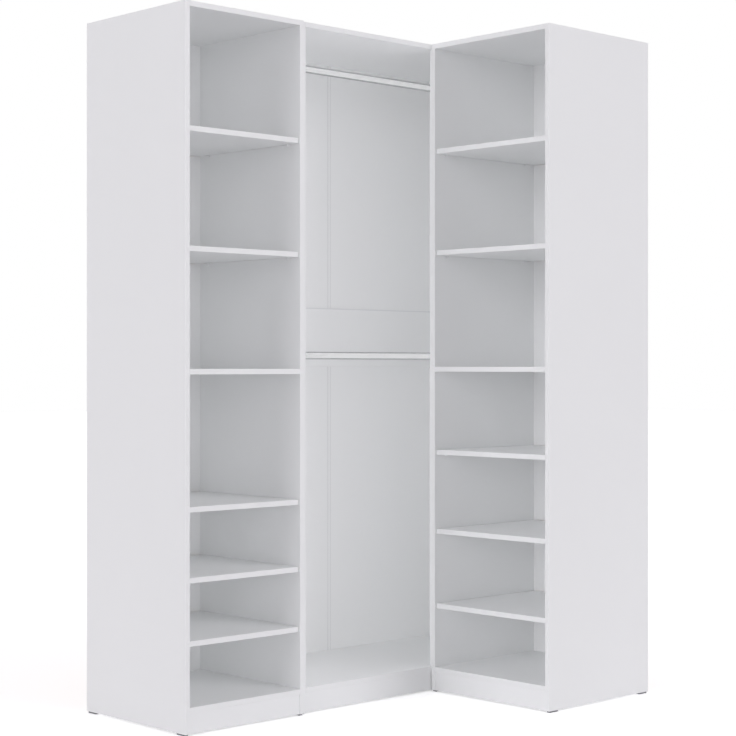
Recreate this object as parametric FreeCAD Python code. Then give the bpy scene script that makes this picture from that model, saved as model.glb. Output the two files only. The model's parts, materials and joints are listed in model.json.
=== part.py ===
import FreeCAD, Part
import math
import os

Vector = FreeCAD.Vector

# Corner wardrobe of three carcasses: a left shelf tower, a blind corner carcass with
# two hanging rails, and a right shelf tower square to the others. Millimetres, +Z up.
# The origin is on the floor, in the middle of the wardrobe's bounding box. The left
# tower and the corner carcass open towards -Y, the right tower opens towards -X.

# Overall sizes
overall_height = 2100.0
overall_length = 1500.0
tower_depth = 490.0
left_width = 450.0
right_width = 500.0
corner_recess = 10.0
blind_setback = 10.0

# Boards
board = 16.0
edge_ease = 0.8
plinth_height = 60.0
plinth_recess = 3.0
rear_rail_height = 200.0
rear_rail_base = 1054.0

# Back sheets, which lie in a rebate of the side boards
back_thickness = 3.0
back_inset = 1.0
back_clearance = 0.5
rebate_width = 8.0

# Profile that joins the two back sheets of the corner carcass
joint_place = 544.0
joint_width = 13.0
joint_web = 1.2
joint_flange = 0.8
joint_clearance = 0.3

# Clear heights of the compartments, from the top one down. In a taller or lower tower
# they share its height in the same proportion. The middle shelf is fixed.
left_compartments = (339.0, 328.0, 337.0, 379.0, 187.0, 165.0, 172.0)
right_compartments = (324.0, 313.0, 361.0, 253.0, 240.0, 226.0, 190.0)

# Loose shelves
shelf_setback = 7.0
shelf_side_clearance = 1.0
shelf_rear_clearance = 3.0

# Shelf pins
pin_diameter = 5.0
pin_depth = 9.0
pin_reach = 9.0
pin_lug_width = 8.0
pin_lug_height = 6.0
pin_lug_bevel = 3.0
pin_inset = 45.0

# Hanging rails and the cups that hold their ends
rail_diameter = 25.0
rail_wall = 1.0
rail_fit = 0.1
upper_rail_drop = 73.0
lower_rail_rise = 36.0
socket_flange_diameter = 52.0
socket_flange = 3.0
socket_wall = 3.0
socket_length = 15.0
socket_screw_circle = 41.0

# Board joints: cam discs with their bolts, and dowels
cam_diameter = 15.0
cam_depth = 12.5
cam_distance = 24.0
cam_inset = 80.0
bolt_diameter = 7.0
bolt_bite = 11.0
dowel_diameter = 8.0
dowel_length = 30.0
dowel_bite = 11.0
dowel_inset = 50.0

# Screws
screw_diameter = 4.0
screw_head_diameter = 8.0
screw_head_height = 2.0
head_sides = 8
screw_bite = 12.0
joining_inset = 120.0
joining_rise = 400.0

# Floor glides
glide_height = 5.0
glide_length = 38.0
glide_width = 14.0
glide_inset = 6.0
glide_bevel = 1.5

# Places that follow from the sizes
corner_depth = tower_depth - corner_recess
corner_width = overall_length - left_width
overall_depth = corner_depth + right_width
x_left = -overall_length / 2
x_seam = x_left + left_width
x_right_front = overall_length / 2 - tower_depth
y_front = overall_depth / 2 - tower_depth
y_corner = y_front + corner_recess
rebate_depth = back_thickness + back_inset
bottom_base = glide_height + plinth_height
bottom_top = bottom_base + board
top_base = overall_height - board
upper_rail_height = top_base - upper_rail_drop
lower_rail_height = rear_rail_base + lower_rail_rise


def extrude(points, direction):
    """Closed outline of straight lines, pushed along a direction."""
    corners = [Vector(*point) for point in points]
    outline = Part.makePolygon(corners + corners[:1])
    return Part.Face(outline).extrude(Vector(*direction))


def lying_board(start, length, front, rear, base, rise=board):
    """Board along X with eased front edges."""
    ease = edge_ease
    outline = (
        (start, front + ease, base),
        (start, rear, base),
        (start, rear, base + rise),
        (start, front + ease, base + rise),
        (start, front, base + rise - ease),
        (start, front, base + ease),
    )
    return extrude(outline, (length, 0, 0))


def side_board(outer, inward, depth):
    """Upright side with eased front edges and a rebate for the back; inward is +1 or -1 in X."""
    inner = outer + inward * board
    ease = inward * edge_ease
    rebate = inner - inward * rebate_width
    outline = (
        (outer + ease, 0, glide_height),
        (inner - ease, 0, glide_height),
        (inner, edge_ease, glide_height),
        (inner, depth - rebate_depth, glide_height),
        (rebate, depth - rebate_depth, glide_height),
        (rebate, depth, glide_height),
        (outer, depth, glide_height),
        (outer, edge_ease, glide_height),
    )
    return extrude(outline, (0, 0, overall_height - glide_height))


def back_sheet(start, end, depth):
    """Thin sheet behind the bottom and top boards, between two places in X."""
    base = bottom_base + back_clearance
    rise = overall_height - back_clearance - base
    front = depth - rebate_depth
    return Part.makeBox(end - start, back_thickness, rise, Vector(start, front, base))


def peg(diameter, length, start, direction, sides=6):
    """Many-sided fastener body, whose flats lie on its diameter, from a start along a direction."""
    step = 2 * math.pi / sides
    radius = diameter / 2 / math.cos(step / 2)
    angles = [(turn + 0.5) * step for turn in range(sides)]
    outline = [(radius * math.cos(a), radius * math.sin(a), 0) for a in angles]
    body = extrude(outline, (0, 0, length))
    turn = FreeCAD.Rotation(Vector(0, 0, 1), Vector(*direction))
    body.Placement = FreeCAD.Placement(Vector(*start), turn)
    return body


def screw(seat, direction, length):
    """Flat head on a surface, shank driven along the direction."""
    crown = Vector(*seat) - Vector(*direction) * screw_head_height
    head = peg(screw_head_diameter, screw_head_height, crown, direction, head_sides)
    return head.fuse(peg(screw_diameter, length, seat, direction)).removeSplitter()


def cam_joint(end, inward, across, base, cam_from_above):
    """Cam disc in a lying board and the bolt that ties it to the side board at its end."""
    middle = base + board / 2
    centre = end + inward * cam_distance
    if cam_from_above:
        disc = peg(cam_diameter, cam_depth, (centre, across, base + board), (0, 0, -1), head_sides)
    else:
        disc = peg(cam_diameter, cam_depth, (centre, across, base), (0, 0, 1), head_sides)
    reach = cam_distance - cam_diameter / 2
    start = end - inward * bolt_bite
    bolt = peg(bolt_diameter, bolt_bite + reach, (start, across, middle), (inward, 0, 0))
    return disc, bolt


def end_dowel(end, inward, across, height):
    """Dowel from a side board into the end of another board."""
    start = end - inward * dowel_bite
    return peg(dowel_diameter, dowel_length, (start, across, height), (inward, 0, 0))


def drill(piece, fasteners):
    """Cut the seats of all fasteners that reach into a piece."""
    near = [f for f in fasteners if piece.BoundBox.intersect(f.BoundBox)]
    seats = [f for f in near if piece.common(f).Volume > 0]
    if not seats:
        return piece
    return piece.cut(seats)


def carcass(width, depth, fixed_top=None):
    """Sides, top, bottom and plinth, with an optional fixed shelf, and their fasteners."""
    inner_width = width - 2 * board
    rear = depth - rebate_depth
    boards = {
        "low_side": side_board(0, 1, depth),
        "high_side": side_board(width, -1, depth),
        "top": lying_board(board, inner_width, 0, rear, top_base),
        "bottom": lying_board(board, inner_width, 0, rear, bottom_base),
        "plinth": Part.makeBox(
            inner_width, board, plinth_height, Vector(board, plinth_recess, glide_height)
        ),
    }
    tied = [(top_base, True), (bottom_base, False)]
    if fixed_top is not None:
        boards["fixed"] = lying_board(board, inner_width, 0, rear, fixed_top - board)
        tied.append((fixed_top - board, False))
    discs, bolts, dowels = [], [], []
    for end, inward in ((board, 1), (width - board, -1)):
        for base, from_above in tied:
            for across in (cam_inset, rear - cam_inset):
                disc, bolt = cam_joint(end, inward, across, base, from_above)
                discs.append(disc)
                bolts.append(bolt)
            dowels.append(end_dowel(end, inward, rear / 2, base + board / 2))
        plinth_middle = plinth_recess + board / 2
        dowels.append(end_dowel(end, inward, plinth_middle, glide_height + plinth_height / 2))
    return boards, {"cam_discs": discs, "cam_bolts": bolts, "dowels": dowels}


def floor_glides(width, depth):
    """Bevelled glides under the front and rear ends of both side boards."""
    glides = []
    for middle in (board / 2, width - board / 2):
        side = middle - glide_width / 2
        for start in (glide_inset, depth - glide_inset - glide_length):
            end = start + glide_length
            outline = (
                (side, start, glide_height),
                (side, start, glide_bevel),
                (side, start + glide_bevel, 0),
                (side, end - glide_bevel, 0),
                (side, end, glide_bevel),
                (side, end, glide_height),
            )
            glides.append(extrude(outline, (glide_width, 0, 0)))
    return glides


def shelf_pin(wall, inward, across, top):
    """Pin in a side board with a flat-topped lug that a shelf lies on."""
    start = (wall - inward * pin_depth, across, top - pin_lug_height / 2)
    shank = peg(pin_diameter, pin_depth, start, (inward, 0, 0))
    tip = wall + inward * pin_reach
    side = across - pin_lug_width / 2
    outline = (
        (wall, side, top),
        (tip, side, top),
        (tip, side, top - pin_lug_height + pin_lug_bevel),
        (tip - inward * pin_lug_bevel, side, top - pin_lug_height),
        (wall, side, top - pin_lug_height),
    )
    return extrude(outline, (0, pin_lug_width, 0)).fuse(shank).removeSplitter()


def loose_shelf(width, top):
    """Shelf between the sides, set back from the front, with the pins below it."""
    start = board + shelf_side_clearance
    rear = tower_depth - rebate_depth - shelf_rear_clearance
    base = top - board
    shelf = lying_board(start, width - 2 * start, shelf_setback, rear, base)
    pins = []
    for wall, inward in ((board, 1), (width - board, -1)):
        for across in (shelf_setback + pin_inset, rear - pin_inset):
            pins.append(shelf_pin(wall, inward, across, base))
    return shelf, pins


def shelf_heights(compartments):
    """Upper faces of the shelves between the compartments, from the top one down."""
    clear = top_base - bottom_top - (len(compartments) - 1) * board
    scale = clear / sum(compartments)
    heights = []
    under = top_base
    for share in compartments[:-1]:
        heights.append(under - share * scale)
        under = heights[-1] - board
    return heights


def tower(width, compartments):
    """Shelf tower in its own frame: width along X, front at Y 0, depth along Y."""
    shelf_tops = shelf_heights(compartments)
    fixed_shelf = len(compartments) // 2
    boards, hardware = carcass(width, tower_depth, shelf_tops[fixed_shelf - 1])
    shelves = {}
    hardware["pins"] = []
    for number, top in enumerate(shelf_tops, start=1):
        if number == fixed_shelf:
            shelves[number] = boards.pop("fixed")
            continue
        shelves[number], pins = loose_shelf(width, top)
        hardware["pins"] += pins
    boards.update({"shelf_%d" % number: shelf for number, shelf in shelves.items()})
    gap = board - rebate_width + back_clearance
    boards["back"] = back_sheet(gap, width - gap, tower_depth)
    hardware["floor_glides"] = floor_glides(width, tower_depth)
    return boards, hardware


def rail_socket(wall, inward, across, height):
    """Round cup with a flange on a side board, holding the end of a hanging rail."""
    bore = rail_diameter / 2 + rail_fit
    outside = bore + socket_wall
    flange = socket_flange_diameter / 2
    foot = Vector(wall, across, height)
    along = Vector(inward, 0, 0)
    plate = Part.makeCylinder(flange, socket_flange, foot, along)
    collar = Part.makeCylinder(outside, socket_length, foot, along)
    seat = Part.makeCylinder(bore, socket_length, foot + along * socket_flange, along)
    return plate.fuse(collar).removeSplitter().cut(seat)


def hanging_rail(height, across):
    """Tube between the side boards of the corner carcass, with its cups and their screws."""
    start = board + socket_flange
    length = corner_width - 2 * start
    radius = rail_diameter / 2
    place = Vector(start, across, height)
    along = Vector(1, 0, 0)
    tube = Part.makeCylinder(radius, length, place, along)
    tube = tube.cut(Part.makeCylinder(radius - rail_wall, length, place, along))
    sockets, screws = [], []
    for wall, inward in ((board, 1), (corner_width - board, -1)):
        cup = rail_socket(wall, inward, across, height)
        for turn in (-1, 1):
            seat = (wall + inward * socket_flange, across, height + turn * socket_screw_circle / 2)
            screws.append(screw(seat, (-inward, 0, 0), socket_flange + screw_bite))
        sockets.append(cup)
    return tube, sockets, screws


def back_joint_profile(place, depth):
    """H profile over the joint of two sheets, between the bottom and the top board."""
    front = depth - rebate_depth - joint_clearance / 2
    rear = front + back_thickness + joint_clearance
    half_width = joint_width / 2
    half_web = joint_web / 2
    outline = (
        (place - half_width, front - joint_flange, bottom_top),
        (place + half_width, front - joint_flange, bottom_top),
        (place + half_width, front, bottom_top),
        (place + half_web, front, bottom_top),
        (place + half_web, rear, bottom_top),
        (place + half_width, rear, bottom_top),
        (place + half_width, rear + joint_flange, bottom_top),
        (place - half_width, rear + joint_flange, bottom_top),
        (place - half_width, rear, bottom_top),
        (place - half_web, rear, bottom_top),
        (place - half_web, front, bottom_top),
        (place - half_width, front, bottom_top),
    )
    return extrude(outline, (0, 0, top_base - bottom_top))


def rear_rail():
    """Wide board on the back, grooved behind where it crosses the joint profile."""
    rear = corner_depth - rebate_depth
    length = corner_width - 2 * board
    rail = lying_board(board, length, rear - board, rear, rear_rail_base, rear_rail_height)
    groove_width = joint_width + 2 * joint_clearance
    groove_depth = joint_flange + joint_clearance
    corner = Vector(joint_place - groove_width / 2, rear - groove_depth, rear_rail_base)
    rail = rail.cut(Part.makeBox(groove_width, groove_depth, rear_rail_height, corner))
    dowels = []
    for end, inward in ((board, 1), (corner_width - board, -1)):
        for height in (dowel_inset, rear_rail_height - dowel_inset):
            dowels.append(end_dowel(end, inward, rear - board / 2, rear_rail_base + height))
    return rail, dowels


def blind_front():
    """Board that closes the half of the corner behind the right tower."""
    start = x_right_front + blind_setback - x_seam
    end = corner_width - board
    ease = edge_ease
    outline = (
        (start, ease, bottom_top),
        (start + ease, 0, bottom_top),
        (end, 0, bottom_top),
        (end, board, bottom_top),
        (start + ease, board, bottom_top),
        (start, board - ease, bottom_top),
    )
    panel = extrude(outline, (0, 0, top_base - bottom_top))
    dowels = []
    for across in (start + dowel_inset, end - dowel_inset):
        low = (across, board / 2, bottom_top - dowel_bite)
        high = (across, board / 2, top_base + dowel_bite)
        dowels.append(peg(dowel_diameter, dowel_length, low, (0, 0, 1)))
        dowels.append(peg(dowel_diameter, dowel_length, high, (0, 0, -1)))
    return panel, dowels, (start, end)


def joining_screws(blind_start, blind_end):
    """Screws driven from inside the corner carcass into both towers."""
    length = board + screw_bite
    screws = []
    for height in (bottom_top + joining_rise, top_base - joining_rise):
        for across in (joining_inset, corner_depth - joining_inset):
            screws.append(screw((board, across, height), (-1, 0, 0), length))
        for along in (blind_start + joining_inset, blind_end - joining_inset):
            screws.append(screw((along, board, height), (0, -1, 0), length))
    return screws


def corner():
    """Corner carcass in its own frame: width along X, front at Y 0, depth along Y."""
    boards, hardware = carcass(corner_width, corner_depth)
    boards["rear_rail"], rail_dowels = rear_rail()
    boards["blind_front"], blind_dowels, blind_span = blind_front()
    hardware["dowels"] += rail_dowels + blind_dowels
    hardware["joining_screws"] = joining_screws(*blind_span)
    gap = board - rebate_width + back_clearance
    sheet_gap = joint_web / 2 + joint_clearance
    boards["back_left"] = back_sheet(gap, joint_place - sheet_gap, corner_depth)
    boards["back_right"] = back_sheet(joint_place + sheet_gap, corner_width - gap, corner_depth)
    boards["back_joint"] = back_joint_profile(joint_place, corner_depth)
    hardware["rail_sockets"], hardware["rail_socket_screws"] = [], []
    heights = {"upper_hanging_rail": upper_rail_height, "lower_hanging_rail": lower_rail_height}
    for name, height in heights.items():
        boards[name], sockets, screws = hanging_rail(height, corner_depth / 2)
        hardware["rail_sockets"] += sockets
        hardware["rail_socket_screws"] += screws
    hardware["floor_glides"] = floor_glides(corner_width, corner_depth)
    return boards, hardware


def place(pieces, placement):
    """Move a dictionary of shapes or of lists of shapes to their place in the wardrobe."""
    matrix = placement.toMatrix()
    for name, piece in pieces.items():
        if isinstance(piece, list):
            pieces[name] = [one.transformed(matrix, True) for one in piece]
        else:
            pieces[name] = piece.transformed(matrix, True)


# The three modules, each moved from its own frame to its place
no_turn = FreeCAD.Rotation()
quarter_turn = FreeCAD.Rotation(Vector(0, 0, 1), -90)
modules = {
    "left": (
        tower(left_width, left_compartments),
        FreeCAD.Placement(Vector(x_left, y_front, 0), no_turn),
        {"low_side": "outer_side", "high_side": "inner_side"},
    ),
    "corner": (
        corner(),
        FreeCAD.Placement(Vector(x_seam, y_corner, 0), no_turn),
        {"low_side": "left_side", "high_side": "right_side"},
    ),
    "right": (
        tower(right_width, right_compartments),
        FreeCAD.Placement(Vector(x_right_front, y_corner, 0), quarter_turn),
        {"low_side": "inner_side", "high_side": "outer_side"},
    ),
}
nodes = {}
groups = {}
for module, ((boards, hardware), placement, side_names) in modules.items():
    place(boards, placement)
    place(hardware, placement)
    for name, piece in boards.items():
        nodes[module + "_" + side_names.get(name, name)] = piece
    for name, pieces in hardware.items():
        if name == "pins":
            name = module + "_shelf_pins"
        groups.setdefault(name, []).extend(pieces)

# Every board and cup is drilled for the fasteners that reach into it
drilled_for = [f for name, pieces in groups.items() if name not in ("floor_glides", "rail_sockets")
               for f in pieces]
for name in nodes:
    nodes[name] = drill(nodes[name], drilled_for)
groups["rail_sockets"] = [drill(cup, groups["rail_socket_screws"]) for cup in groups["rail_sockets"]]

os.makedirs("parts", exist_ok=True)
for name, pieces in groups.items():
    nodes[name] = Part.makeCompound(pieces)
for name, shape in nodes.items():
    shape.exportStep("parts/%s.step" % name)
print("%d nodes, %d solids" % (len(nodes), sum(len(shape.Solids) for shape in nodes.values())))
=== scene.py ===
import json
import math

import bmesh
import bpy
from mathutils import Matrix, Vector


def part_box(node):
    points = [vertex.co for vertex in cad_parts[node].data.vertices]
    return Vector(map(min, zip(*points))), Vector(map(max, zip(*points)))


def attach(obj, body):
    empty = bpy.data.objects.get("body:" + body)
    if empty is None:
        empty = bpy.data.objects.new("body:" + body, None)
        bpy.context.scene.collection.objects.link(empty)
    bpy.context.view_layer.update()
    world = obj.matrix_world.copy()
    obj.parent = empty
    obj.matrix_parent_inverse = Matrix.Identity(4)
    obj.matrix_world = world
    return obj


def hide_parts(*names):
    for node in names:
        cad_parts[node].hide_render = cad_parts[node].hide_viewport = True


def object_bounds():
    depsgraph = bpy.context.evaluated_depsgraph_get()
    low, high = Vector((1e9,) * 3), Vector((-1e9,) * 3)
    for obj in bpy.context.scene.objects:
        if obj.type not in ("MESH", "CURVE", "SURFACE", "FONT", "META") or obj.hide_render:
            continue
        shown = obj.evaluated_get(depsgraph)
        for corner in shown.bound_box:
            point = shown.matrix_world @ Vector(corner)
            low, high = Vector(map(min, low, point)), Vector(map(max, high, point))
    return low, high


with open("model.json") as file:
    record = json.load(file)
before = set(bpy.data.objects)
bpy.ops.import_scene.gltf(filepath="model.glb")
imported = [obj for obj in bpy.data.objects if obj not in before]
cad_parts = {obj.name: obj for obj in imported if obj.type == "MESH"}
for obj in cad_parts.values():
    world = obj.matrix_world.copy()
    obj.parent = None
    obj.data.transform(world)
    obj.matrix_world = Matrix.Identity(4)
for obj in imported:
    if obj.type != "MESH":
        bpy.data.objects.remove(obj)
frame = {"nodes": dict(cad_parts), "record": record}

# The corner wardrobe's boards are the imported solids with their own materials. The small
# hardware that shows its round form is modelled here and replaces its plain solids.
# Metres, +Z up. The left tower and the corner carcass open towards -Y, the right tower
# towards -X, so rear edges face +Y on the first two and +X on the last.

cad_low, cad_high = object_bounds()
nodes = frame["nodes"]
slots = {part["node"]: part["material_slot"] for part in frame["record"]["subparts"]}
UP = Vector((0, 0, 1))
X_AXIS, Y_AXIS, Z_AXIS = 0, 1, 2

# Camera of the photograph, level and at half the wardrobe's height. Its horizon lies a few
# pixels above the picture's middle.
CAMERA_PLACE = (-3.82337, -3.98697, 1.05629)
CAMERA_TURN = math.radians(-43.55)
CAMERA_LENS = 86.04
SENSOR_WIDTH = 36.0
IMAGE_SIZE = 736
HORIZON_RISE = 2.0

# Light: an even sky and soft lamps, each as azimuth and elevation of the side that it
# comes from, in degrees, and strength. Azimuth 0 is the -Y side and -45 the camera's.
SKY_STRENGTH = 0.37
LIGHT_COLOUR = (0.985, 0.965, 1.0)
LAMPS = {
    "key": (-45, 5, 0.34),
    "front_fill": (21, 20, 0.93),
    "left_fill": (-92, 20, 0.93),
    "rear_fill": (135, 20, 1.0),
}
LAMP_SPREAD = math.radians(35)
LIGHT_BOUNCES = 12

# Soft sheets of light in the carcasses' mouths, which even out their insides. A tower's
# compartment gets so many watts per square metre of its walls, less what its mouth lets in.
# Its sheet shines deeper inside than the corner carcass's, whose watts are given as they are.
WALL_LIGHT = 0.2
MOUTH_LIGHT = 0.9
DEEP_SPREAD = math.radians(75)
CORNER_LAMP = 0.99
MOUTH_DEPTH = 0.004
SHELVES = 6

# Watts per square metre, tint and distance of the sheet that only shows in the tubes' chrome
GLOSS_LAMP = 2.4
GLOSS_COLOUR = (1.0, 1.0, 0.985)
GLOSS_GAP = 0.025

# Floor, and the light that it adds where it is looked at
FLOOR_SIZE = 60.0
FLOOR_GLOW = 0.45

# Surfaces: a face is turned to a side when its normal goes this far that way, an edge is
# raw when it lies this close to the wardrobe's rear, and two thin lines are painted greyer as shade
FACING = 0.5
RAW_DEPTH = 0.015
JOINT_SHADE_LINE = 0.0012
RAIL_SHADE_LINE = 0.004

# Factors along X, Y and Z for patterns that are even all ways, or drawn out along X
EVEN = (1, 1, 1)
DRAWN_ALONG_X = (0.03, 1, 1)

# Turned pieces: sides of a full turn, the angle from which an edge stays sharp, the ways
# along a profile, towards its axis, away from it, down it and up it, and how far in from a
# corner the middle of its rounding lies both ways, as a share of the radius
TURNED_SIDES = 32
TUBE_SIDES = 96
CUP_SIDES = 64
PIN_SIDES = 20
NAIL_SIDES = 12
SHARP_ANGLE = math.radians(32)
IN, OUT, DOWN, RISE = (-1, 0), (1, 0), (0, -1), (0, 1)
ROUND_MIDDLE = 0.3

# Corners closer than this are one, boxes are sorted by so many digits, and a cam disc
# this close to the top opens upwards
WELD = 1e-6
SORT_DIGITS = 5
NEAR_TOP = 0.001

# Hanging tubes and their cups
RAIL_WALL = 0.001
RAIL_EDGE = 0.0003
RAIL_FIT = 0.0001
CUP_FLANGE = 0.003
CUP_WALL = 0.003
CUP_ROUND = 0.0009
CUP_FILLET = 0.0018
CUP_CHAMFER = 0.00045

# Cam discs and screws. A cross recess is given as the reach and half width of its arms and
# its depth, and the shoulder of a head as its distance in from the side and down from the crown.
CAM_EDGE = 0.0006
CAM_CROSS = (0.0042, 0.0011, 0.0022)
SCREW_CROSS = (0.0022, 0.0005, 0.0009)
SCREW_RADIUS = 0.002
SCREW_TAPER = 0.005
SCREW_POINT = 0.002
SCREW_POINT_RADIUS = 0.0008
HEAD_HEIGHT = 0.002
HEAD_ROUND = 0.001
HEAD_SHOULDER = (0.00028, 0.0004)

# Shelf pins, with tapers given across and along the pin, and floor glides
PIN_RADIUS = 0.0025
PIN_TAPER = (0.0005, 0.0006)
PIN_COLLAR = 0.0011
PIN_COLLAR_TAPER = (0.0004, 0.00044)
PIN_EDGE = 0.0007
PIN_EDGE_STEPS = 2
GLIDE_EDGE = 0.0012
GLIDE_EDGE_STEPS = 3

# Nails of the back sheets: their form, and their places from the sheets' edges
NAIL_LENGTH = 0.014
NAIL_POINT = 0.002
NAIL_RADIUS = 0.0007
NAIL_HEAD = 0.0018
NAIL_HEAD_SIDE = 0.0003
NAIL_CROWN = (0.00126, 0.0006)
NAIL_HEAD_HEIGHT = 0.0007
NAIL_PITCH = 0.15
NAIL_FROM_SIDE = 0.0038
NAIL_FROM_END = 0.008
NAIL_MARGIN = 0.04

# Back sheets with the axis that their rear faces, the board that their middle is nailed to,
# and whether their low and their high upright edge is nailed
NAILED_SHEETS = (
    ("left_back", Y_AXIS, "left_shelf_3", True, True),
    ("corner_back_left", Y_AXIS, "corner_rear_rail", True, False),
    ("corner_back_right", Y_AXIS, "corner_rear_rail", False, True),
    ("right_back", X_AXIS, "right_shelf_3", True, True),
)


# Places and directions

def unit(axis):
    """Unit vector along an axis."""
    return Vector([float(number == axis) for number in range(3)])


def crosswise(axis):
    """The other level axis."""
    return X_AXIS if axis == Y_AXIS else Y_AXIS


def middle(node, axis):
    """Middle of a CAD node's box along an axis."""
    low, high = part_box(node)
    return (low[axis] + high[axis]) / 2


# Materials

def srgb(red, green, blue):
    """Linear colour of an sRGB triple written from 0 to 255."""
    def channel(value):
        value /= 255
        return value / 12.92 if value <= 0.04045 else ((value + 0.055) / 1.055) ** 2.4
    return (channel(red), channel(green), channel(blue), 1.0)


class Recipe:
    """Node tree of one material, with short calls for the nodes used here."""

    def __init__(self, name):
        self.material = bpy.data.materials.new(name)
        self.material.use_nodes = True
        self.tree = self.material.node_tree
        self.shader = self.tree.nodes["Principled BSDF"]
        self.coordinates = self.tree.nodes.new("ShaderNodeTexCoord")

    def put(self, socket, source):
        """Link an output to a socket, or set the socket's own value."""
        if isinstance(source, bpy.types.NodeSocket):
            self.tree.links.new(source, socket)
        else:
            socket.default_value = source

    def set(self, **values):
        """Values or outputs for the shader's sockets; an underscore stands for a space."""
        for name, source in values.items():
            self.put(self.shader.inputs[name.replace("_", " ")], source)

    def split(self, output):
        """X, Y and Z of a coordinate output, such as Object or Normal."""
        node = self.tree.nodes.new("ShaderNodeSeparateXYZ")
        self.tree.links.new(self.coordinates.outputs[output], node.inputs[0])
        return node.outputs

    def math(self, operation, *sources):
        """Result of a sum, product, comparison or the like of one or two sources."""
        node = self.tree.nodes.new("ShaderNodeMath")
        node.operation = operation
        for socket, source in zip(node.inputs, sources):
            self.put(socket, source)
        return node.outputs[0]

    def stretched(self, stretch):
        """Object coordinates multiplied by a factor along each axis."""
        node = self.tree.nodes.new("ShaderNodeVectorMath")
        node.operation = "MULTIPLY"
        self.tree.links.new(self.coordinates.outputs["Object"], node.inputs[0])
        node.inputs[1].default_value = stretch
        return node.outputs[0]

    def noise(self, scale, detail=2.0, stretch=EVEN):
        """Soft cloudy pattern from 0 to 1."""
        node = self.tree.nodes.new("ShaderNodeTexNoise")
        node.inputs["Scale"].default_value = scale
        node.inputs["Detail"].default_value = detail
        self.tree.links.new(self.stretched(stretch), node.inputs["Vector"])
        return node.outputs["Fac"]

    def chips(self, scale, stretch=EVEN):
        """A random shade for each cell of a Voronoi pattern."""
        node = self.tree.nodes.new("ShaderNodeTexVoronoi")
        node.inputs["Scale"].default_value = scale
        self.tree.links.new(self.stretched(stretch), node.inputs["Vector"])
        shade = self.tree.nodes.new("ShaderNodeSeparateColor")
        self.tree.links.new(node.outputs["Color"], shade.inputs[0])
        return shade.outputs[0]

    def spread(self, source, low, high):
        """Value from 0 to 1 mapped onto a range."""
        node = self.tree.nodes.new("ShaderNodeMapRange")
        self.put(node.inputs["Value"], source)
        node.inputs["To Min"].default_value = low
        node.inputs["To Max"].default_value = high
        return node.outputs["Result"]

    def mix(self, factor, first, second):
        """First colour where the factor is 0, second where it is 1."""
        node = self.tree.nodes.new("ShaderNodeMix")
        node.data_type = "RGBA"
        self.put(node.inputs["Factor"], factor)
        sockets = {socket.identifier: socket for socket in node.inputs}
        self.put(sockets["A_Color"], first)
        self.put(sockets["B_Color"], second)
        return {socket.identifier: socket for socket in node.outputs}["Result_Color"]

    def bump(self, height, distance):
        """Fine relief of the surface."""
        node = self.tree.nodes.new("ShaderNodeBump")
        node.inputs["Strength"].default_value = 1.0
        node.inputs["Distance"].default_value = distance
        self.tree.links.new(height, node.inputs["Height"])
        self.set(Normal=node.outputs["Normal"])


def board_sheen(recipe):
    """Roughness of a papered or lacquered board, which varies a little over its face."""
    return recipe.spread(recipe.noise(scale=9.0), low=0.36, high=0.44)


def board_material(name, rear_axis):
    """White melamine board: pearl-textured faces, smoother front edge band, raw rear edges."""
    cloud_white = srgb(239, 240, 240)
    clear_white = srgb(241, 242, 242)
    dark_chip = srgb(151, 118, 82)
    pale_chip = srgb(206, 178, 138)
    band_gloss = 0.08
    raw_roughness = 0.85
    raw_relief = 3.0

    recipe = Recipe(name)
    place = recipe.split("Object")
    facing = recipe.split("Normal")
    behind = recipe.math("GREATER_THAN", place[rear_axis], cad_high[rear_axis] - RAW_DEPTH)
    rearward = recipe.math("GREATER_THAN", facing[rear_axis], FACING)
    raw = recipe.math("MULTIPLY", behind, rearward)
    band = recipe.math("LESS_THAN", facing[rear_axis], -FACING)

    paper = recipe.mix(recipe.noise(scale=2.2, detail=3.0), cloud_white, clear_white)
    edged = recipe.mix(band, paper, clear_white)
    chip = recipe.chips(scale=420.0, stretch=(1.0, 1.0, 1.6))
    particle = recipe.mix(chip, dark_chip, pale_chip)
    recipe.set(Base_Color=recipe.mix(raw, edged, particle))

    glossier = recipe.math("MULTIPLY", band, band_gloss)
    smooth = recipe.math("SUBTRACT", board_sheen(recipe), glossier)
    rough = recipe.math("MULTIPLY", raw, raw_roughness)
    recipe.set(Roughness=recipe.math("MAXIMUM", smooth, rough))
    recipe.set(Specular_IOR_Level=0.4)

    pearl = recipe.noise(scale=750.0)
    chipped = recipe.math("MULTIPLY", recipe.math("MULTIPLY", chip, raw), raw_relief)
    recipe.bump(recipe.math("ADD", pearl, chipped), distance=0.00006)
    return recipe.material


def rail_material(name, node):
    """Board across the back sheets, in whites painted a shade lighter than the melamine boards' as
    painted light, its face painted greyer along the top edge as painted shade.
    """
    # These whites are painted a shade lighter than the boards' to stand in for more light on the
    # rail
    cloud_white = srgb(246, 247, 247)
    clear_white = srgb(248, 248, 248)
    # Grey of the painted shade along the top of the rail's face
    shade_grey = srgb(233, 234, 235)

    recipe = Recipe(name)
    # A band of painted shade along the top of the face, where a contact shadow falls under the back
    # sheets
    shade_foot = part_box(node)[1].z - RAIL_SHADE_LINE
    above = recipe.math("GREATER_THAN", recipe.split("Object")[Z_AXIS], shade_foot)
    face = recipe.math("LESS_THAN", recipe.split("Normal")[Y_AXIS], -FACING)
    edge = recipe.math("MULTIPLY", above, face)
    lacquer = recipe.mix(recipe.noise(scale=2.2, detail=3.0), cloud_white, clear_white)
    recipe.set(Base_Color=recipe.mix(edge, lacquer, shade_grey))
    recipe.set(Roughness=board_sheen(recipe), Specular_IOR_Level=0.4)
    recipe.bump(recipe.noise(scale=750.0), distance=0.00006)
    return recipe.material


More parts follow.
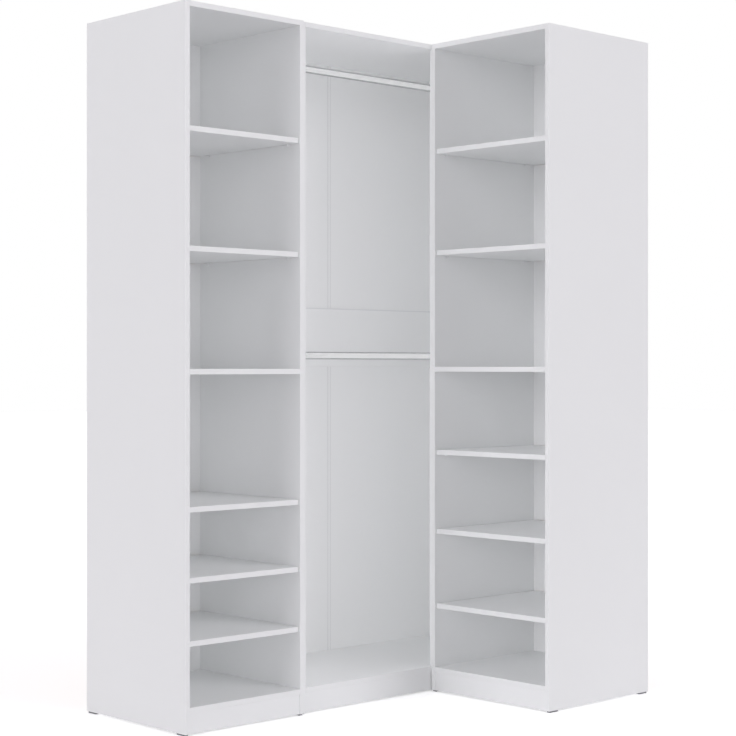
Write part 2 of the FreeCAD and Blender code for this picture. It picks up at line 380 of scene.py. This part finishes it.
def back_material(name, rear_axis):
    """Thin hardboard: white lacquer towards the room, brown fibres behind."""
    cloud_white = srgb(247, 248, 248)
    clear_white = srgb(249, 249, 249)
    dark_fibre = srgb(112, 80, 52)
    pale_fibre = srgb(164, 125, 86)
    stain = srgb(128, 93, 61)
    rear_dullness = 0.28

    recipe = Recipe(name)
    rear = recipe.math("GREATER_THAN", recipe.split("Normal")[rear_axis], FACING)
    lacquer = recipe.mix(recipe.noise(scale=3.0, detail=3.0), cloud_white, clear_white)
    fibre = recipe.noise(scale=160.0, detail=6.0, stretch=(1.0, 1.0, 0.35))
    patch = recipe.noise(scale=5.0, detail=4.0)
    brown = recipe.mix(fibre, dark_fibre, pale_fibre)
    stained = recipe.mix(recipe.spread(patch, low=0.0, high=0.35), brown, stain)
    recipe.set(Base_Color=recipe.mix(rear, lacquer, stained))

    sheen = recipe.spread(patch, low=0.42, high=0.5)
    dull = recipe.math("MULTIPLY", rear, rear_dullness)
    recipe.set(Roughness=recipe.math("ADD", sheen, dull), Specular_IOR_Level=0.35)
    recipe.bump(recipe.math("MULTIPLY", fibre, rear), distance=0.00008)
    return recipe.material


def joint_material(name, node):
    """White extruded profile, with a thin grey line of painted shade where its lips end on the
    sheets.
    """
    cloud_white = srgb(247, 248, 248)
    clear_white = srgb(249, 249, 249)
    lip_shade_grey = srgb(219, 220, 221)

    recipe = Recipe(name)
    low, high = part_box(node)
    # The lips' outer edges are painted grey as the shade of the gap at the sheets
    shade_start = (high.x - low.x) / 2 - JOINT_SHADE_LINE
    from_middle = recipe.math("SUBTRACT", recipe.split("Object")[X_AXIS], middle(node, X_AXIS))
    shaded_lip = recipe.math("GREATER_THAN", recipe.math("ABSOLUTE", from_middle), shade_start)
    grain = recipe.noise(scale=900.0, detail=3.0, stretch=(1.0, 1.0, 0.05))
    extruded = recipe.mix(grain, cloud_white, clear_white)
    recipe.set(Base_Color=recipe.mix(shaded_lip, extruded, lip_shade_grey))
    recipe.set(Roughness=recipe.spread(grain, low=0.3, high=0.42))
    recipe.bump(grain, distance=0.00003)
    return recipe.material


def metal_material(name, colour, tint, roughness, scale, stretch=EVEN):
    """Metal with fine drawn lines or grains that vary its gloss and its tone a little."""
    recipe = Recipe(name)
    grain = recipe.noise(scale=scale, detail=3.0, stretch=stretch)
    smudge = recipe.noise(scale=14.0, detail=3.0)
    recipe.set(Base_Color=recipe.mix(smudge, colour, tint), Metallic=1.0)
    recipe.set(Roughness=recipe.spread(grain, low=0.75 * roughness, high=1.3 * roughness))
    recipe.bump(grain, distance=0.000006)
    return recipe.material


def plastic_material(name, colour, tint, roughness, scale):
    """Moulded plastic with a fine spark-eroded grain."""
    recipe = Recipe(name)
    grain = recipe.noise(scale=scale, detail=3.0)
    cloud = recipe.noise(scale=40.0)
    recipe.set(Base_Color=recipe.mix(cloud, colour, tint))
    recipe.set(Roughness=recipe.spread(grain, low=0.85 * roughness, high=1.2 * roughness))
    recipe.bump(grain, distance=0.00004)
    return recipe.material


def beech_material(name):
    """Beech dowels with grain and short dark flecks along X."""
    dark_wood = srgb(188, 143, 99)
    pale_wood = srgb(219, 180, 136)
    fleck_brown = srgb(160, 113, 74)

    recipe = Recipe(name)
    grain = recipe.noise(scale=300.0, detail=5.0, stretch=(0.08, 1.0, 1.0))
    speckle = recipe.chips(scale=700.0, stretch=(0.2, 1.0, 1.0))
    wood = recipe.mix(grain, dark_wood, pale_wood)
    recipe.set(Base_Color=recipe.mix(recipe.spread(speckle, low=0.0, high=0.4), wood, fleck_brown))
    recipe.set(Roughness=recipe.spread(grain, low=0.55, high=0.7))
    recipe.bump(grain, distance=0.00008)
    return recipe.material


def nodes_of(slot, modules=""):
    """CAD nodes that have one of the record's material slots, all or those of some modules."""
    return [node for node in nodes if slots[node] == slot and node.startswith(modules)]


def dress(material, names):
    """Give CAD nodes a material."""
    for name in names:
        data = nodes[name].data
        if not data.materials:
            data.materials.append(material)
        for number in range(len(data.materials)):
            data.materials[number] = material


def dress_boards():
    """Board and back materials, by the side that a module turns to the wall."""
    groups = (
        (Y_AXIS, "y", ("left_", "corner_")),
        (X_AXIS, "x", ("right_",)),
    )
    for axis, suffix, modules in groups:
        dress(board_material("board_white_" + suffix, axis), nodes_of("board_white", modules))
        dress(back_material("back_sheet_" + suffix, axis), nodes_of("back_sheet", modules))
    dress(rail_material("rail_painted_light_and_shade", "corner_rear_rail"), ["corner_rear_rail"])


def dress_hardware():
    """Materials of all else, kept by the record's material slots."""
    chrome = metal_material(
        "chrome", srgb(198, 198, 199), srgb(192, 192, 194),
        roughness=0.12, scale=900.0, stretch=DRAWN_ALONG_X,
    )
    steel = metal_material(
        "steel", srgb(196, 197, 199), srgb(176, 177, 180), roughness=0.28, scale=800.0
    )
    zinc = metal_material(
        "zinc", srgb(178, 180, 183), srgb(158, 160, 163), roughness=0.38, scale=500.0
    )
    pale = plastic_material(
        "pin_plastic", srgb(238, 238, 239), srgb(242, 242, 243), roughness=0.42, scale=900.0
    )
    grey = plastic_material(
        "glide_grey", srgb(128, 129, 132), srgb(116, 117, 120), roughness=0.5, scale=900.0
    )
    finishes = {
        "joint_profile": joint_material("joint_white", "corner_back_joint"),
        "rail_chrome": chrome,
        "socket_chrome": chrome,
        "screw_steel": steel,
        "bolt_steel": steel,
        "cam_zinc": zinc,
        "dowel_beech": beech_material("beech"),
        "pin_white": pale,
        "glide_plastic": grey,
    }
    for slot, material in finishes.items():
        dress(material, nodes_of(slot))
    return finishes


# Shapes that the pieces are made of

def placing(foot, axis):
    """Matrix that sets a body turned round Z on its foot and along an axis."""
    turn = UP.rotation_difference(Vector(axis)).to_matrix().to_4x4()
    return Matrix.Translation(Vector(foot)) @ turn


def rounded(corner, radius, back, ahead):
    """Three points that round a profile's corner, which has one way back and one ahead."""
    points = []
    for far_back, far_ahead in ((1, 0), (ROUND_MIDDLE, ROUND_MIDDLE), (0, 1)):
        across = corner[0] + radius * (far_back * back[0] + far_ahead * ahead[0])
        height = corner[1] + radius * (far_back * back[1] + far_ahead * ahead[1])
        points.append((across, height))
    return points


def lathe(mesh, profile, foot, axis, sides=TURNED_SIDES):
    """Turn (radius, height) pairs round an axis through foot; radius 0 closes an end.

    Returns the last ring of corners."""
    place = placing(foot, axis)
    rings = []
    for radius, height in profile:
        count = sides if radius else 1
        ring = []
        for step in range(count):
            angle = 2 * math.pi * step / sides
            corner = Vector((radius * math.cos(angle), radius * math.sin(angle), height))
            ring.append(mesh.verts.new(place @ corner))
        rings.append(ring)
    for low, high in zip(rings, rings[1:]):
        for step in range(sides):
            after = (step + 1) % sides
            corners = (
                low[step % len(low)], low[after % len(low)],
                high[after % len(high)], high[step % len(high)],
            )
            mesh.faces.new(dict.fromkeys(corners))
    return rings[-1]


def ring_edges(mesh, ring):
    """The edges round a closed ring of corners, made where they are missing."""
    edges = []
    for first, second in zip(ring, ring[1:] + ring[:1]):
        edges.append(mesh.edges.get((first, second)) or mesh.edges.new((first, second)))
    return edges


def recessed_head(mesh, profile, foot, axis, cross):
    """Turned body whose flat crown, the profile's last ring, has a cross recess."""
    reach, half, depth = cross
    rim = lathe(mesh, profile, foot, axis)
    height = profile[-1][1]
    place = placing(foot, axis)
    outline = []
    for quarter in range(4):
        spin = Matrix.Rotation(quarter * math.pi / 2, 4, "Z")
        for x, y in ((reach, -half), (reach, half), (half, half)):
            outline.append(spin @ Vector((x, y, 0)))
    lips = [mesh.verts.new(place @ (corner + UP * height)) for corner in outline]
    floor = [mesh.verts.new(place @ (corner + UP * (height - depth))) for corner in outline]
    border = ring_edges(mesh, rim) + ring_edges(mesh, lips)
    bmesh.ops.triangle_fill(mesh, edges=border, use_beauty=True, normal=Vector(axis))
    for step in range(len(lips)):
        after = (step + 1) % len(lips)
        mesh.faces.new((lips[step], lips[after], floor[after], floor[step]))
    mesh.faces.new(floor)


def rounded_block(mesh, low, high, radius, steps):
    """Box between two corners with all edges rounded."""
    place = Matrix.Translation((low + high) / 2) @ Matrix.Diagonal((*(high - low), 1.0))
    made = bmesh.ops.create_cube(mesh, size=1.0, matrix=place)
    edges = dict.fromkeys(edge for corner in made["verts"] for edge in corner.link_edges)
    bmesh.ops.bevel(
        mesh, geom=list(edges), offset=radius, segments=steps, profile=0.5, affect="EDGES"
    )


def solids_of(node):
    """Lowest and highest corner of each separate solid in a CAD node, in a steady order."""
    mesh = bmesh.new()
    mesh.from_mesh(nodes[node].data)
    bmesh.ops.remove_doubles(mesh, verts=mesh.verts, dist=WELD)
    left = set(mesh.verts)
    boxes = []
    while left:
        stack = [left.pop()]
        found = []
        while stack:
            corner = stack.pop()
            found.append(corner.co.copy())
            for edge in corner.link_edges:
                other = edge.other_vert(corner)
                if other in left:
                    left.remove(other)
                    stack.append(other)
        low = Vector([min(point[axis] for point in found) for axis in range(3)])
        high = Vector([max(point[axis] for point in found) for axis in range(3)])
        boxes.append((low, high))
    mesh.free()
    boxes.sort(key=lambda box: [round(value, SORT_DIGITS) for value in (*box[0], *box[1])])
    return boxes


def finish_piece(mesh, name, finishes, slot, *replaced):
    """Make a mesh a smooth-shaded piece that rides on the carcass and stands for CAD nodes."""
    bmesh.ops.recalc_face_normals(mesh, faces=mesh.faces)
    data = bpy.data.meshes.new(name)
    mesh.to_mesh(data)
    mesh.free()
    data.polygons.foreach_set("use_smooth", [True] * len(data.polygons))
    data.set_sharp_from_angle(angle=SHARP_ANGLE)
    data.materials.append(finishes[slot])
    piece = bpy.data.objects.new(name, data)
    bpy.context.scene.collection.objects.link(piece)
    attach(piece, "carcass")
    if replaced:
        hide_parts(*replaced)


# Hardware pieces

def tube_piece(node, name, finishes):
    """Thin-walled hanging tube with deburred ends."""
    low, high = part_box(node)
    radius = (high.z - low.z) / 2
    inside = radius - RAIL_WALL
    length = high.x - low.x
    foot = (low.x, (low.y + high.y) / 2, (low.z + high.z) / 2)
    profile = [
        (inside, RAIL_EDGE), (inside + RAIL_EDGE, 0), (radius - RAIL_EDGE, 0),
        (radius, RAIL_EDGE), (radius, length - RAIL_EDGE), (radius - RAIL_EDGE, length),
        (inside + RAIL_EDGE, length), (inside, length - RAIL_EDGE), (inside, RAIL_EDGE),
    ]
    mesh = bmesh.new()
    lathe(mesh, profile, foot, unit(X_AXIS), TUBE_SIDES)
    bmesh.ops.remove_doubles(mesh, verts=mesh.verts, dist=WELD)
    finish_piece(mesh, name, finishes, "rail_chrome", node)


def cup_piece(finishes):
    """Flanged cups at the tubes' ends, with rounded rims and a fillet at the collar."""
    mesh = bmesh.new()
    halfway = middle("rail_sockets", X_AXIS)
    tube_low, tube_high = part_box("corner_upper_hanging_rail")
    bore = (tube_high.z - tube_low.z) / 2 + RAIL_FIT
    outside = bore + CUP_WALL
    for low, high in solids_of("rail_sockets"):
        inward = 1 if high.x < halfway else -1
        wall = low.x if inward > 0 else high.x
        flange = (high.z - low.z) / 2
        length = high.x - low.x
        profile = [
            (0, 0), (flange, 0),
            *rounded((flange, CUP_FLANGE), CUP_ROUND, DOWN, IN),
            *rounded((outside, CUP_FLANGE), CUP_FILLET, OUT, RISE),
            *rounded((outside, length), CUP_ROUND, DOWN, IN),
            (bore + CUP_CHAMFER, length), (bore, length - CUP_CHAMFER),
            (bore, CUP_FLANGE), (0, CUP_FLANGE),
        ]
        foot = (wall, (low.y + high.y) / 2, (low.z + high.z) / 2)
        lathe(mesh, profile, foot, (inward, 0, 0), CUP_SIDES)
    finish_piece(mesh, "rail_cups", finishes, "socket_chrome", "rail_sockets")


def screw_piece(node, name, finishes, crown_is_high):
    """Pan-head screws with a cross recess.

    crown_is_high tells from the high corner of a screw's box whether its head is at that end."""
    mesh = bmesh.new()
    shoulder_in, shoulder_down = HEAD_SHOULDER
    for low, high in solids_of(node):
        size = high - low
        axis = max(range(3), key=lambda number: size[number])
        across = (axis + 1) % 3
        length = high[axis] - low[axis]
        radius = (high[across] - low[across]) / 2
        out = unit(axis) if crown_is_high(high) else -unit(axis)
        seat = (low + high) / 2 + out * (length / 2 - HEAD_HEIGHT)
        tip = HEAD_HEIGHT - length
        profile = [
            (0, tip), (SCREW_POINT_RADIUS, tip + SCREW_POINT), (SCREW_RADIUS, tip + SCREW_TAPER),
            (SCREW_RADIUS, 0), (radius, 0), (radius, HEAD_HEIGHT - HEAD_ROUND),
            (radius - shoulder_in, HEAD_HEIGHT - shoulder_down),
            (radius - HEAD_ROUND, HEAD_HEIGHT),
        ]
        recessed_head(mesh, profile, seat, out, SCREW_CROSS)
    finish_piece(mesh, name, finishes, "screw_steel", node)


def cam_piece(finishes):
    """Zinc cam discs, flush with their board, with a broken edge and a cross recess."""
    mesh = bmesh.new()
    for low, high in solids_of("cam_discs"):
        radius = (high.x - low.x) / 2
        depth = high.z - low.z
        opens_up = high.z > cad_high.z - NEAR_TOP
        foot = (low + high) / 2
        foot.z = low.z if opens_up else high.z
        profile = [(0, 0), (radius, 0), (radius, depth - CAM_EDGE), (radius - CAM_EDGE, depth)]
        recessed_head(mesh, profile, foot, UP if opens_up else -UP, CAM_CROSS)
    finish_piece(mesh, "cam_faces", finishes, "cam_zinc", "cam_discs")


def pin_piece(side, axis, finishes):
    """Shelf pins of one tower: a round shank and collar with a flat-topped, rounded lug."""
    node = side + "_shelf_pins"
    mesh = bmesh.new()
    halfway = middle(node, axis)
    narrower, tip = PIN_TAPER
    collar_in, collar_down = PIN_COLLAR_TAPER
    for low, high in solids_of(node):
        inward = 1.0 if high[axis] < halfway else -1.0
        centre = (low + high) / 2
        reach = (high[axis] - low[axis]) / 2
        lug_radius = (high.z - low.z) / 2
        lug_low, lug_high = low.copy(), high.copy()
        if inward > 0:
            lug_low[axis] = centre[axis]
        else:
            lug_high[axis] = centre[axis]
        rounded_block(mesh, lug_low, lug_high, PIN_EDGE, PIN_EDGE_STEPS)
        profile = [
            (0, -reach), (PIN_RADIUS - narrower, -reach), (PIN_RADIUS, tip - reach),
            (PIN_RADIUS, 0), (lug_radius, 0), (lug_radius, PIN_COLLAR - collar_down),
            (lug_radius - collar_in, PIN_COLLAR), (0, PIN_COLLAR),
        ]
        lathe(mesh, profile, centre, inward * unit(axis), PIN_SIDES)
    finish_piece(mesh, side + "_pins", finishes, "pin_white", node)


def glide_piece(finishes):
    """Moulded floor glides with rounded edges."""
    mesh = bmesh.new()
    for low, high in solids_of("floor_glides"):
        rounded_block(mesh, low, high, GLIDE_EDGE, GLIDE_EDGE_STEPS)
    finish_piece(mesh, "glide_pads", finishes, "glide_plastic", "floor_glides")


def places(start, end, pitch):
    """Evenly spaced values between two ends, about a pitch apart, both ends included."""
    count = max(1, round((end - start) / pitch))
    return [start + (end - start) * step / count for step in range(count + 1)]


def nail_piece(finishes):
    """Flat-headed nails that hold the back sheets on the sides, tops, bottoms and middle boards."""
    profile = [
        (0, -NAIL_LENGTH), (NAIL_RADIUS, NAIL_POINT - NAIL_LENGTH), (NAIL_RADIUS, 0),
        (NAIL_HEAD, 0), (NAIL_HEAD, NAIL_HEAD_SIDE), NAIL_CROWN, (0, NAIL_HEAD_HEIGHT),
    ]
    mesh = bmesh.new()
    for sheet, axis, middle_board, at_low, at_high in NAILED_SHEETS:
        low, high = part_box(sheet)
        across = crosswise(axis)
        rows = places(low.z + NAIL_FROM_END, high.z - NAIL_FROM_END, NAIL_PITCH)
        columns = places(low[across] + NAIL_MARGIN, high[across] - NAIL_MARGIN, NAIL_PITCH)
        levels = (rows[0], rows[-1], middle(middle_board, Z_AXIS))
        spots = []
        if at_low:
            spots += [(low[across] + NAIL_FROM_SIDE, row) for row in rows]
        if at_high:
            spots += [(high[across] - NAIL_FROM_SIDE, row) for row in rows]
        spots += [(column, level) for level in levels for column in columns]
        for column, level in spots:
            foot = Vector((0, 0, level))
            foot[across] = column
            foot[axis] = high[axis]
            lathe(mesh, profile, foot, unit(axis), NAIL_SIDES)
    finish_piece(mesh, "back_nails", finishes, "screw_steel")


def build_hardware(finishes):
    """All pieces that are modelled here."""
    halfway = middle("rail_sockets", X_AXIS)
    tube_piece("corner_upper_hanging_rail", "upper_tube", finishes)
    tube_piece("corner_lower_hanging_rail", "lower_tube", finishes)
    cup_piece(finishes)
    screw_piece("rail_socket_screws", "cup_screws", finishes, lambda high: high.x < halfway)
    screw_piece("joining_screws", "carcass_screws", finishes, lambda high: True)
    cam_piece(finishes)
    pin_piece("left", X_AXIS, finishes)
    pin_piece("right", Y_AXIS, finishes)
    glide_piece(finishes)
    nail_piece(finishes)


# Light, floor and camera

def seen_directly(tree):
    """Light Path output that is 1 for what the camera, gloss or glass shows."""
    path = tree.nodes.new("ShaderNodeLightPath")
    output = path.outputs["Is Camera Ray"]
    for other in ("Is Glossy Ray", "Is Transmission Ray"):
        node = tree.nodes.new("ShaderNodeMath")
        node.operation = "MAXIMUM"
        tree.links.new(output, node.inputs[0])
        tree.links.new(path.outputs[other], node.inputs[1])
        output = node.outputs[0]
    return output


def light_world():
    """Even soft light from all round, which shows itself as plain white."""
    world = bpy.data.worlds.new("studio")
    world.use_nodes = True
    tree = world.node_tree
    soft = tree.nodes["Background"]
    soft.inputs["Color"].default_value = (*LIGHT_COLOUR, 1.0)
    soft.inputs["Strength"].default_value = SKY_STRENGTH
    white = tree.nodes.new("ShaderNodeBackground")
    white.inputs["Color"].default_value = (1, 1, 1, 1)
    white.inputs["Strength"].default_value = 1.0
    mix = tree.nodes.new("ShaderNodeMixShader")
    tree.links.new(seen_directly(tree), mix.inputs[0])
    tree.links.new(soft.outputs[0], mix.inputs[1])
    tree.links.new(white.outputs[0], mix.inputs[2])
    tree.links.new(mix.outputs[0], tree.nodes["World Output"].inputs["Surface"])
    bpy.context.scene.world = world


def light_lamps():
    """Soft lamps from the photographer's side and, for the closed rear, from behind."""
    for name, (azimuth, elevation, strength) in LAMPS.items():
        data = bpy.data.lights.new(name, "SUN")
        data.energy = strength
        data.color = LIGHT_COLOUR
        data.angle = LAMP_SPREAD
        lamp = bpy.data.objects.new(name, data)
        turn = math.radians(azimuth)
        rise = math.radians(elevation)
        away = Vector((math.sin(turn), -math.cos(turn), math.tan(rise)))
        lamp.rotation_euler = (-away).to_track_quat("-Z", "Y").to_euler()
        bpy.context.scene.collection.objects.link(lamp)


def sheet_lamp(name, centre, width, height, shine, power, spread=math.pi, for_gloss=False):
    """Rectangle of soft light, unseen by the camera, either for matt or for glossy surfaces."""
    data = bpy.data.lights.new(name, "AREA")
    data.shape = "RECTANGLE"
    data.size = width
    data.size_y = height
    data.energy = power
    data.spread = spread
    data.color = GLOSS_COLOUR if for_gloss else LIGHT_COLOUR
    lamp = bpy.data.objects.new(name, data)
    rear = -shine
    turn = Matrix((UP.cross(rear), UP, rear)).transposed().to_4x4()
    lamp.matrix_world = Matrix.Translation(centre) @ turn
    lamp.visible_camera = False
    lamp.visible_diffuse = not for_gloss
    lamp.visible_glossy = for_gloss
    bpy.context.scene.collection.objects.link(lamp)


def compartments(side):
    """Floor and ceiling of each compartment of a tower, from the bottom up."""
    shelves = [f"{side}_shelf_{number}" for number in range(SHELVES, 0, -1)]
    boards = [side + "_bottom", *shelves, side + "_top"]
    return [(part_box(below)[1].z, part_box(above)[0].z) for below, above in zip(boards, boards[1:])]


def light_compartments(side, axis):
    """A sheet of soft light in the mouth of each compartment, just behind its shelf's edge."""
    across = crosswise(axis)
    shelf_low, shelf_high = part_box(side + "_shelf_1")
    width = shelf_high[across] - shelf_low[across]
    depth = shelf_high[axis] - shelf_low[axis]
    centre = (shelf_low + shelf_high) / 2
    centre[axis] = shelf_low[axis] + MOUTH_DEPTH
    for number, (floor, ceiling) in enumerate(compartments(side)):
        height = ceiling - floor
        mouth = width * height
        walls = 2 * depth * (width + height) + mouth
        power = WALL_LIGHT * walls - MOUTH_LIGHT * mouth
        centre.z = (floor + ceiling) / 2
        name = f"{side}_sheet_{number}"
        sheet_lamp(name, centre, width, height, unit(axis), power, spread=DEEP_SPREAD)


def light_corner():
    """A sheet of soft light in the open half of the corner carcass's front."""
    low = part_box("corner_bottom")[0]
    blind_low, blind_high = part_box("corner_blind_front")
    width = blind_low.x - low.x
    height = blind_high.z - blind_low.z
    centre = ((low.x + blind_low.x) / 2, low.y + MOUTH_DEPTH, (blind_low.z + blind_high.z) / 2)
    sheet_lamp("corner_sheet", centre, width, height, unit(Y_AXIS), CORNER_LAMP)


def light_chrome():
    """A sheet close in front of the hanging tubes, which only glossy surfaces reflect."""
    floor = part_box("corner_bottom")[1].z
    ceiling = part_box("corner_top")[0].z
    rail_low, rail_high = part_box("corner_upper_hanging_rail")
    width = rail_high.x - rail_low.x
    height = ceiling - floor
    centre = ((rail_low.x + rail_high.x) / 2, rail_low.y - GLOSS_GAP, (floor + ceiling) / 2)
    power = GLOSS_LAMP * width * height
    sheet_lamp("gloss_front", centre, width, height, unit(Y_AXIS), power, for_gloss=True)


def lay_floor():
    """Pale floor that takes the object's shadow and fades into the white background."""
    recipe = Recipe("floor")
    speck = recipe.noise(scale=60.0, detail=3.0)
    recipe.set(Base_Color=recipe.mix(speck, srgb(245, 245, 246), srgb(248, 248, 248)))
    recipe.set(Roughness=0.8, Specular_IOR_Level=0.1)
    tree = recipe.tree
    glow = tree.nodes.new("ShaderNodeEmission")
    shown = recipe.math("MULTIPLY", seen_directly(tree), FLOOR_GLOW)
    tree.links.new(shown, glow.inputs["Strength"])
    both = tree.nodes.new("ShaderNodeAddShader")
    tree.links.new(recipe.shader.outputs[0], both.inputs[0])
    tree.links.new(glow.outputs[0], both.inputs[1])
    tree.links.new(both.outputs[0], tree.nodes["Material Output"].inputs["Surface"])
    mesh = bmesh.new()
    bmesh.ops.create_grid(mesh, x_segments=1, y_segments=1, size=FLOOR_SIZE / 2)
    data = bpy.data.meshes.new("floor")
    mesh.to_mesh(data)
    mesh.free()
    data.materials.append(recipe.material)
    floor = bpy.data.objects.new("floor", data)
    bpy.context.scene.collection.objects.link(floor)


def set_camera():
    """Level camera at the photograph's place, angle and lens."""
    data = bpy.data.cameras.new("camera")
    data.lens = CAMERA_LENS
    data.sensor_width = SENSOR_WIDTH
    data.shift_y = -HORIZON_RISE / IMAGE_SIZE
    camera = bpy.data.objects.new("camera", data)
    camera.location = CAMERA_PLACE
    camera.rotation_euler = (math.pi / 2, 0, CAMERA_TURN)
    bpy.context.scene.collection.objects.link(camera)
    bpy.context.scene.camera = camera


def main():
    """Materials and hardware of the wardrobe, then its light, floor and camera."""
    bpy.context.scene.view_settings.view_transform = "Standard"
    bpy.context.scene.cycles.diffuse_bounces = LIGHT_BOUNCES
    dress_boards()
    build_hardware(dress_hardware())
    light_world()
    light_lamps()
    light_compartments("left", Y_AXIS)
    light_compartments("right", X_AXIS)
    light_corner()
    light_chrome()
    lay_floor()
    set_camera()


main()
